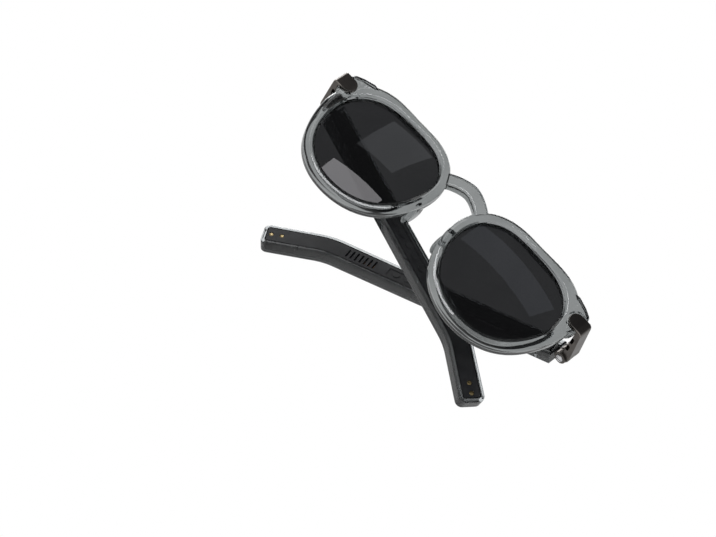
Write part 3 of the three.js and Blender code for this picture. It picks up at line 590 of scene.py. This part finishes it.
# %% Hinge brackets
ARM_IN, ARM_OUT = END_OUTER + 0.3, END_OUTER + 2.7
ARM_LOW, ARM_HIGH = PAD_Z - PAD_RADIUS, PAD_Z + PAD_RADIUS
HX, HY, HZ = HINGE
KNUCKLE, TALL = 2.6, 2.6
MID_LOW, MID_HIGH = HZ - TALL / 2 - 0.3, HZ + TALL / 2 + 0.3
BARREL = (MID_LOW - TALL, MID_HIGH + TALL)
arm_outline = [
    (ARM_IN, PAD_FRONT), (ARM_OUT - 1.6, PAD_FRONT), (ARM_OUT - 1.0, PAD_FRONT + 0.12),
    (ARM_OUT - 0.45, PAD_FRONT + 0.5), (ARM_OUT - 0.1, PAD_FRONT + 1.1),
    (ARM_OUT + 0.1, PAD_FRONT + 2.2),
    (ARM_OUT + 1.49, HY - 1.5), (ARM_OUT + 1.35, HY - 0.3), (ARM_OUT + 0.9, HY + 0.7),
    (ARM_OUT + 0.5, HY + 1.2), (HX + KNUCKLE * 0.7, HY + 1.6), (ARM_IN, HY),
]
bracket = slab("bracket", pad_outline(0, ARM_OUT - 1), (PAD_FRONT, PAD_BACK), "front", 0.32, 2)
merge(bracket, slab("arm", arm_outline, (ARM_LOW, ARM_HIGH), "plan", 0.35, 3))
merge(bracket, rod("barrel", (HX, HY), KNUCKLE, BARREL, rounding=0.3))
cut(bracket, rod("middle", (HX, HY), KNUCKLE + 0.3, (MID_LOW, MID_HIGH)))
cut(bracket, block("behind", (HX - 4, HY - 1.4, MID_LOW), (ARM_OUT + 3, HY + 4, MID_HIGH)))
cut(bracket, rod("bore", (HX, HY), 1.0, (BARREL[0] - 1, BARREL[1] + 1)))
cut(bracket, rod("head_seat", (HX, HY), 1.8, (BARREL[0] - 1, BARREL[0] + 0.4)))
for share in (0.36, 0.62):
    at = PAD_FRONT + share * (HY - PAD_FRONT)
    window = [*arc((ARM_IN + 0.75, at + 1.0), 0.7, 0, 180, 8),
              *arc((ARM_IN + 0.75, at - 1.0), 0.7, 180, 360, 8)]
    cut(bracket, slab("window", window, (ARM_LOW - 1, ARM_LOW + 1.7), "plan"))


def broken_edge(face):
    """1 for the narrow sloping faces that the rounding made on the pad's front."""
    straight = max(abs(n) for n in face.normal)
    return int(straight < 0.96 and face.area < 1.2 and face.center.y < PAD_BACK)


# %% Both brackets
for label, piece in (("right", mirrored(bracket)), ("left", bracket)):
    settle(piece, f"{label}_bracket", "front", [f"{label}_hinge_bracket"],
           [gunmetal, edge_metal], pick=broken_edge)

# %% [markdown]
# The hinge screws show underneath as small bright domes with a driver slot. A lathe profile
# suits them: half an outline, turned about the screw's axis, then one straight cut.


# %% Hinge screws
def hinge_screw():
    """A screw from rings of points, each with a radius and a height over the barrel's end."""
    low, high = BARREL
    outline = [(0.6, -0.72), (1.1, -0.58), (1.5, -0.32), (1.68, 0.0), (1.68, 0.3), (0.9, 0.32)]
    rings = [(radius, low + rise) for radius, rise in outline] + [(0.9, high - 0.1)]
    sides = 32
    turns = [2 * math.pi * i / sides for i in range(sides)]
    pts = [(HX + radius * math.cos(turn), HY + radius * math.sin(turn), height)
           for radius, height in rings for turn in turns]
    quads = between_rings(len(rings), sides)
    pts.append((HX, HY, low - 0.75))
    quads += [(len(pts) - 1, (i + 1) % sides, i) for i in range(sides)]
    quads.append(tuple((len(rings) - 1) * sides + i for i in range(sides)))
    driver_slot = block("slot", (HX - 3, HY - 0.22, low - 2), (HX + 3, HY + 0.22, low - 0.25))
    return cut(solid("screw", pts, quads), driver_slot)


for label, side in SIDES:
    settle(on_side(hinge_screw(), side), f"{label}_pivot_screw", "front",
           [f"{label}_hinge_screw"], [bright_steel])

# %% [markdown]
# Each temple is a bar that slopes down from the hinge and bends round the ear. Its middle
# line is a straight part, an arc and a second straight part, so a distance along it gives a
# point and a slope. Everything in the temple is placed by that distance.

# %% The temple's middle line
SLOPE, BEND, BEND_RADIUS = math.radians(13.3), math.radians(18.4), 30.0
STRAIGHT, LENGTH, START = 104.9, 131.4, 3.4
INNER, OUTER, WALL, TIP_CORNER = -0.6, 5.0, 1.5, 2.6
CAVITY_OUTER = OUTER - 1.2
BEND_START = STRAIGHT - BEND_RADIUS * math.tan(BEND / 2)


def beside(distance, up):
    """The point at a distance from the hinge axis and up across the temple: (back, height)."""
    turned = min(max(distance - BEND_START, 0) / (BEND_RADIUS * BEND), 1) * BEND
    reach = min(distance, BEND_START)
    back, height = reach * math.cos(SLOPE), -reach * math.sin(SLOPE)
    chord, lean = 2 * BEND_RADIUS * math.sin(turned / 2), SLOPE + turned / 2
    past, slope = max(0, distance - BEND_START - BEND_RADIUS * BEND), SLOPE + turned
    back += chord * math.cos(lean) + past * math.cos(slope)
    height -= chord * math.sin(lean) + past * math.sin(slope)
    return (back + up * math.sin(slope), height + up * math.cos(slope))


def half_height(distance):
    return (9.6 + distance / LENGTH) / 2


print("temple tip:", [round(v, 1) for v in beside(LENGTH, 0)], "mm from the hinge")


# %% The temple's outline
def temple_outline(inset, start):
    radius = max(TIP_CORNER - inset, 0.5)
    first, last = start, LENGTH - inset
    stations = [40, 70, 90, *(BEND_START + k for k in range(0, 12)), 118]
    stations = [d for d in stations if first < d < last - radius]
    top_front, edge = half_height(first) - inset, {}
    for turn in (1, -1):
        up = turn * top_front
        line = [beside((first - up * math.sin(SLOPE)) / math.cos(SLOPE), up)]
        line += [beside(d, turn * (half_height(d) - inset)) for d in stations]
        for k in range(7):
            t = math.pi * k / 12
            line.append(beside(last - radius + radius * math.sin(t),
                               turn * (half_height(last) - inset - radius + radius * math.cos(t))))
        edge[turn] = line
    return edge[1] + edge[-1][::-1]


def temple_block(name, start, end, low, high, inner, outer, rounding=0.0):
    outline = [beside(start, low), beside(end, low), beside(end, high), beside(start, high)]
    return slab(name, outline, (inner, outer), "side", rounding, 2)


def temple_place(side):
    turn = math.radians(LEFT_FOLD if side > 0 else RIGHT_FOLD)
    hinge = Matrix.Translation(Vector((side * HX, HY, HZ)))
    mirror = Matrix.Scale(side, 4, Vector((1, 0, 0)))
    return TO_METRES @ hinge @ Matrix.Rotation(side * turn, 4, "Z") @ mirror


print("outline points:", len(temple_outline(0, START)))

# %% [markdown]
# A temple shell is a tray of lighter see-through plastic. Its hollow is painted black
# inside, so from outside a dark core shows through a clear skin, and only the edges and the
# tip look like glass. The paint goes on the faces of the hollow, found by their place.


# %% Temple shells
def in_hollow(face):
    """1 for a face of the painted hollow, 0 for the clear outside."""
    across, back, height = face.center
    inside = INNER + 0.05 < across < CAVITY_OUTER + 0.06
    stations = range(int(START), round(LENGTH) + 1)
    away, distance = min((math.dist(beside(d, 0), (back, height)), d) for d in stations)
    in_length = START + 0.3 < distance < LENGTH - WALL + 0.6
    return int(inside and in_length and away < half_height(distance) - WALL + 0.45)


def temple_shell(side):
    shell = slab("shell", temple_outline(0, START), (INNER, OUTER), "side", 0.8, 4)
    cut(shell, slab("hollow", temple_outline(WALL, 16.0), (INNER - 1, CAVITY_OUTER), "side"))
    leaf_room = [beside((START + WALL + along) / math.cos(SLOPE), up)
                 for along, up in ((0, -3.3), (14, -3.3), (14, 3.3), (0, 3.3))]
    cut(shell, slab("leaf_room", leaf_room, (INNER - 1, 3.2), "side"))
    cut(shell, block("mouth", (1.2, 0, -2.4), (3.2, START + WALL + 1, 1.6)))
    cut(shell, temple_block("port", 16.3, 17.3, -6, -2.3, 1.7, 2.7))
    if side < 0:
        cut(shell, temple_block("button_gap", 23.7, 32.3, -6, -2.3, 1.15, 3.55))
    return shell


for label, side in SIDES:
    settle(temple_shell(side), f"{label}_clear_shell", f"{label}_temple",
           [f"{label}_temple_shell"], [clear_skin, core_paint],
           place=temple_place(side), pick=in_hollow, sharp=30)

# %% [markdown]
# What repeats is made with Geometry Nodes. One tree makes a row of rounded slots: a fillet
# on a rectangle gives the outline, an extrusion gives it depth, and a line of points places
# the copies. The same tree cuts the sound slots and, made solid, gives the raised keys.


# %% A tree for rows of rounded slots
def new_tree(name, sizes):
    tree = bpy.data.node_groups.new(name, "GeometryNodeTree")
    for label, kind in sizes.items():
        tree.interface.new_socket(label, in_out="INPUT", socket_type=kind)
    tree.interface.new_socket("Geometry", in_out="OUTPUT", socket_type="NodeSocketGeometry")
    return tree, tree.nodes.new("NodeGroupInput"), tree.nodes.new("NodeGroupOutput")


def add(tree, kind, settings=None, **inputs):
    made = tree.nodes.new(kind)
    for key, value in (settings or {}).items():
        setattr(made, key, value)
    for key, value in inputs.items():
        socket = made.inputs[key.replace("_", " ")]
        if isinstance(value, bpy.types.NodeSocket):
            tree.links.new(value, socket)
        else:
            socket.default_value = value
    return made.outputs


def painted(tree, shape, material, end):
    """Ends a tree: its real geometry gets the material and goes out."""
    coat = add(tree, "GeometryNodeSetMaterial", Geometry=shape, Material=material)
    tree.links.new(coat["Geometry"], end.inputs[0])
    return tree


def slot_row_tree():
    sizes = {"Count": "NodeSocketInt", "Pitch": "NodeSocketFloat", "Length": "NodeSocketFloat",
             "Width": "NodeSocketFloat", "Depth": "NodeSocketFloat",
             "Material": "NodeSocketMaterial"}
    tree, given, end = new_tree("slot_row", sizes)
    size = given.outputs
    almost_half = Shade(tree, size["Width"]) * 0.49
    outline = add(tree, "GeometryNodeCurvePrimitiveQuadrilateral", Width=size["Width"],
                  Height=size["Length"])
    round_ends = add(tree, "GeometryNodeFilletCurve", {"mode": "POLY"}, Curve=outline["Curve"],
                     Count=5, Radius=almost_half.socket)
    flat = add(tree, "GeometryNodeFillCurve", {"mode": "NGONS"}, Curve=round_ends["Curve"])
    deep = add(tree, "GeometryNodeExtrudeMesh", Mesh=flat["Mesh"], Offset_Scale=size["Depth"])
    under = add(tree, "GeometryNodeFlipFaces", Mesh=flat["Mesh"])
    both = tree.nodes.new("GeometryNodeJoinGeometry")
    tree.links.new(deep["Mesh"], both.inputs[0])
    tree.links.new(under["Mesh"], both.inputs[0])
    closed = add(tree, "GeometryNodeMergeByDistance", Geometry=both.outputs[0], Distance=0.001)
    step = add(tree, "ShaderNodeCombineXYZ", X=size["Pitch"])
    line = add(tree, "GeometryNodeMeshLine", Count=size["Count"], Offset=step["Vector"])
    row = add(tree, "GeometryNodeInstanceOnPoints", Points=line["Mesh"],
              Instance=closed["Geometry"])
    real = add(tree, "GeometryNodeRealizeInstances", Geometry=row["Instances"])
    return painted(tree, real["Geometry"], size["Material"], end)


SLOT_ROW = slot_row_tree()
print("tree", SLOT_ROW.name, "has sockets", [i.name for i in SLOT_ROW.interface.items_tree])


# %% Running a tree
def grown(name, tree, place, **sizes):
    """The mesh that a tree makes with these sizes and material, moved by a matrix."""
    obj = in_scene(name, bpy.data.meshes.new(name))
    step = obj.modifiers.new("grow", "NODES")
    step.node_group = tree
    for item in tree.interface.items_tree:
        if item.in_out == "INPUT" and item.name in sizes:
            step[item.identifier] = sizes[item.name]
    baked(obj)
    obj.data.transform(place)
    if place.determinant() < 0:
        obj.data.flip_normals()
    return obj


def on_inner_face(distance, across, depth):
    """Places a flat drawing on the temple's inner face: x along the bar, y up, z outwards."""
    slope = SLOPE if distance < BEND_START else SLOPE + BEND
    back, height = beside(distance, across)
    along = Vector((0, math.cos(slope), -math.sin(slope)))
    up = Vector((0, math.sin(slope), math.cos(slope)))
    out = along.cross(up)
    turn = Matrix((along, up, out)).transposed().to_4x4()
    return Matrix.Translation(Vector((depth, back, height))) @ turn


print("inner face places are ready, x axis:", on_inner_face(20, 0, 0).to_3x3().col[2][:])

# %% [markdown]
# The inner cover is a black plate let into the shell. Sound slots, the light's hole and the
# contact holes go through it, and a shallow channel with a row of low keys runs along it.


# %% Inner covers
SLOTS_FROM, KEYS_FROM, LIGHT_AT, CONTACTS_FROM_TIP = 84.0, 38, 20, (3.6, 7.8)


def cover():
    outline = temple_outline(WALL + 0.3, START + WALL + 0.3)
    plate = slab("plate", outline, (INNER, INNER + 1.2), "side", 0.25, 2)
    cut(plate, grown("slots", SLOT_ROW, on_inner_face(SLOTS_FROM, 0, INNER - 1), Count=7,
                     Pitch=2.0, Length=4.2, Width=0.8, Depth=4.0, Material=black_plastic))
    cut(plate, temple_block("channel", 34, 78, -1.9, 1.9, INNER - 1, INNER + 0.3))
    merge(plate, grown("keys", SLOT_ROW, on_inner_face(KEYS_FROM, 0, INNER + 0.05), Count=8,
                       Pitch=5.2, Length=2.4, Width=3.4, Depth=0.4, Material=black_plastic))
    cut(plate, rod("light_hole", beside(LIGHT_AT, 0), 0.8, (INNER - 1, 2), "side", 24))
    for back in CONTACTS_FROM_TIP:
        place = beside(LENGTH - back, 0)
        cut(plate, rod("contact_hole", place, 1.0, (INNER - 1, 2), "side", 24))
    return plate


for label, side in SIDES:
    settle(cover(), f"{label}_inner_cover", f"{label}_temple", [f"{label}_temple_cover"],
           [black_plastic], place=temple_place(side))

# %% [markdown]
# A fine wire gauze keeps dust out of the sound slots. A second tree makes it: a grid's
# edges become curves, and each gets a round section. It lies behind the cover's slots.


# %% Speaker gauze
def gauze_tree():
    sizes = {"Long": "NodeSocketFloat", "High": "NodeSocketFloat", "Columns": "NodeSocketInt",
             "Rows": "NodeSocketInt", "Wire": "NodeSocketFloat",
             "Material": "NodeSocketMaterial"}
    tree, given, end = new_tree("gauze", sizes)
    size = given.outputs
    grid = add(tree, "GeometryNodeMeshGrid", Size_X=size["Long"], Size_Y=size["High"],
               Vertices_X=size["Columns"], Vertices_Y=size["Rows"])
    lines = add(tree, "GeometryNodeMeshToCurve", Mesh=grid["Mesh"])
    ring = add(tree, "GeometryNodeCurvePrimitiveCircle", Resolution=5, Radius=size["Wire"])
    wires = add(tree, "GeometryNodeCurveToMesh", Curve=lines["Curve"], Profile_Curve=ring["Curve"])
    real = add(tree, "GeometryNodeRealizeInstances", Geometry=wires["Mesh"])
    return painted(tree, real["Geometry"], size["Material"], end)


GAUZE = gauze_tree()
for label, side in SIDES:
    sheet = grown("sheet", GAUZE, on_inner_face(90, 0, INNER + 1.32), Long=13.0, High=5.2,
                  Columns=27, Rows=12, Wire=0.07, Material=gauze_steel)
    settle(sheet, f"{label}_speaker_gauze", f"{label}_temple", [],
           [gauze_steel], place=temple_place(side))

# %% [markdown]
# The other CAD nodes have the right shape already. They keep it and get a finish, a small
# bevel and smooth shading. Their triangles are loose, so a Weld comes before the Bevel.

# %% Finishes and broken edges for the CAD nodes
CAD_FINISH = {
    "leaf_screw": bright_steel, "hinge_leaf": gunmetal, "bracket_anchor": gunmetal,
    "anchor_screw": bright_steel, "battery": cell_foil, "circuit_board": board_laminate,
    "speaker": black_plastic, "flex_cable": amber_film, "microphone": bright_steel,
    "charging_magnet": bright_steel, "status_light": light_pipe,
    "charging_contact_1": gold_contact, "charging_contact_2": gold_contact,
    "action_button": black_plastic, "button_switch": bright_steel, "touch_strip": amber_film,
}
WELD_GAP, EDGE_BREAK = 0.01 * MM, 0.08 * MM
dressed = 0
for name, node in frame["nodes"].items():
    kind = name.split("_", 1)[1]
    if kind in CAD_FINISH:
        node.data.materials.clear()
        node.data.materials.append(CAD_FINISH[kind])
        node.data.shade_smooth()
        weld = node.modifiers.new("weld", "WELD")
        weld.merge_threshold = WELD_GAP
        soften = node.modifiers.new("soften", "BEVEL")
        soften.width, soften.segments, soften.limit_method = EDGE_BREAK, 2, "ANGLE"
        soften.angle_limit, soften.harden_normals = math.radians(35), True
        dressed += 1
print("CAD nodes dressed:", dressed)

# %% [markdown]
# The floor is a pale sheet at the height on which the glasses rest. It is clear when seen
# from below, by the shader's Backfacing test, so that a view from under it still shows the
# glasses. It doesn't block the lights, and reflections don't show it.

# %% The floor
floor = solid("floor", [(-3, -3, 0), (3, -3, 0), (3, 3, 0), (-3, 3, 0)], [(0, 1, 2, 3)])
pale = bpy.data.materials.new("pale_floor")
start = blank_tree(pale)
paper_place = start.node("ShaderNodeTexCoord", out=OBJECT_PLACE)
fibre = start.node("ShaderNodeTexNoise", {}, {"Vector": paper_place, "Scale": 30.0})
paper = fibre.mix((0.80, 0.80, 0.80, 1), (0.83, 0.83, 0.83, 1))
top = start.node("ShaderNodeBsdfPrincipled", {}, {"Base Color": paper, "Roughness": 0.8})
clear = start.node("ShaderNodeBsdfTransparent")
behind = start.node("ShaderNodeNewGeometry", out=6)
seen = start.node("ShaderNodeMixShader", {}, {0: behind, 1: top, 2: clear})
end = start.tree.nodes.new("ShaderNodeOutputMaterial")
start.tree.links.new(seen.socket, end.inputs["Surface"])
floor.data.materials.append(pale)
floor.visible_shadow = False
floor.visible_glossy = False
print("floor faces up:", floor.data.polygons[0].normal[:])

# %% [markdown]
# The light is a white room with soft boxes. What the camera sees directly is plain white,
# and so is what shines through the plastic. Mirrors see a dim room in front and a pale one
# behind and below, so the dark lenses stay dark and the soft boxes draw the bright bands.
# Light crosses many clear walls here, so a path may be long before it is given up as black.

# %% The room
bpy.context.scene.view_settings.view_transform = "Standard"
paths = bpy.context.scene.cycles
paths.max_bounces, paths.glossy_bounces, paths.transmission_bounces = 24, 16, 16
world = bpy.data.worlds.new("studio")
bpy.context.scene.world = world
start = blank_tree(world)
through_plastic = start.node("ShaderNodeLightPath", out=TRANSMISSION_RAY)
mirror = start.node("ShaderNodeLightPath", out=GLOSSY_RAY) * (1 - through_plastic)
towards = start.node("ShaderNodeTexCoord", out=GENERATED_PLACE)
back_way = start.node("ShaderNodeSeparateXYZ", {}, {0: towards}, out=1)
up_way = start.node("ShaderNodeSeparateXYZ", {}, {0: towards}, out=2)
behind = start.node("ShaderNodeMapRange", {}, {0: back_way, 1: -0.1, 2: 0.5})
below = start.node("ShaderNodeMapRange", {}, {0: up_way, 1: -0.1, 2: -0.5})
pale_side = behind.maths("MAXIMUM", behind, below)
seen_in_gloss = pale_side.mix((0.10, 0.103, 0.11, 1), (0.75, 0.75, 0.75, 1))
room = mirror.mix((1.0, 1.0, 1.0, 1), seen_in_gloss)
back = start.node("ShaderNodeBackground", {}, {0: room, 1: 1.0})
end = start.tree.nodes.new("ShaderNodeOutputWorld")
start.tree.links.new(back.socket, end.inputs[0])
print("room:", world.name, "with", len(start.tree.nodes), "nodes")

# %% [markdown]
# Each soft box is an area light that faces the glasses. A reflection in a curved lens is a
# picture of a box, so three of them are there for the lenses alone, and one more draws the
# band on the front. Light linking limits what these shine on, and it keeps two of the
# bigger boxes out of the lenses.


# %% Soft boxes
BOX_DISTANCE = 0.9


def soft_box(name, azimuth, elevation, size, bright, tint=(1, 1, 1), roll=0, around=Vector(),
             only=(), never=(), see=True):
    lamp = bpy.data.lights.new(name, "AREA")
    lamp.shape, lamp.size, lamp.size_y = "RECTANGLE", *size
    lamp.energy, lamp.color = bright * math.pi * size[0] * size[1], tint
    obj = in_scene(name, lamp)
    a, e = math.radians(azimuth), math.radians(elevation)
    toward = Vector((-math.sin(a) * math.cos(e), -math.cos(a) * math.cos(e), math.sin(e)))
    obj.location = datum + around * MM + toward * BOX_DISTANCE
    obj.rotation_mode = "QUATERNION"
    rolled = Quaternion((0, 0, 1), math.radians(roll))
    obj.rotation_quaternion = toward.to_track_quat("Z", "Y") @ rolled
    obj.visible_camera, obj.visible_transmission, obj.visible_glossy = False, False, see
    if only or never:
        group = bpy.data.collections.new(name + "_on")
        for piece in only or never:
            group.objects.link(bpy.data.objects[piece])
        for entry in group.collection_objects:
            entry.light_linking.link_state = "INCLUDE" if only else "EXCLUDE"
        obj.light_linking.receiver_collection = group
    return obj


LENSES = ("right_sun_lens", "left_sun_lens")
RIGHT_LENS, LEFT_LENS = Vector((-LENS_X, 2, RISE)), Vector((LENS_X, 2, RISE))
FRONT = ("smoke_front",)
soft_box("edge_box", 108, 37, (0.5, 0.3), 5)
soft_box("overhead", 146, 68, (0.5, 0.35), 2.5, never=LENSES)
soft_box("front_corner", 18, 15, (0.5, 0.34), 8, (0.97, 0.97, 1.0), 4, only=FRONT)
soft_box("top_box", 55, 30, (0.45, 0.3), 1.3, never=LENSES)
soft_box("fill_box", -15, -15, (0.6, 0.6), 3.0, see=False)
soft_box("right_window", 24, 41, (0.26, 0.31), 0.5, (0.90, 0.94, 1.0), 8, RIGHT_LENS,
         only=LENSES[:1])
soft_box("right_corner", 17.6, 15.2, (0.37, 0.17), 3.6, (0.98, 0.96, 1.0), 4, RIGHT_LENS,
         only=LENSES[:1])
soft_box("left_strip", 7.8, 42.2, (0.56, 0.19), 0.36, (0.80, 0.86, 1.0), 0, LEFT_LENS,
         only=LENSES[1:])
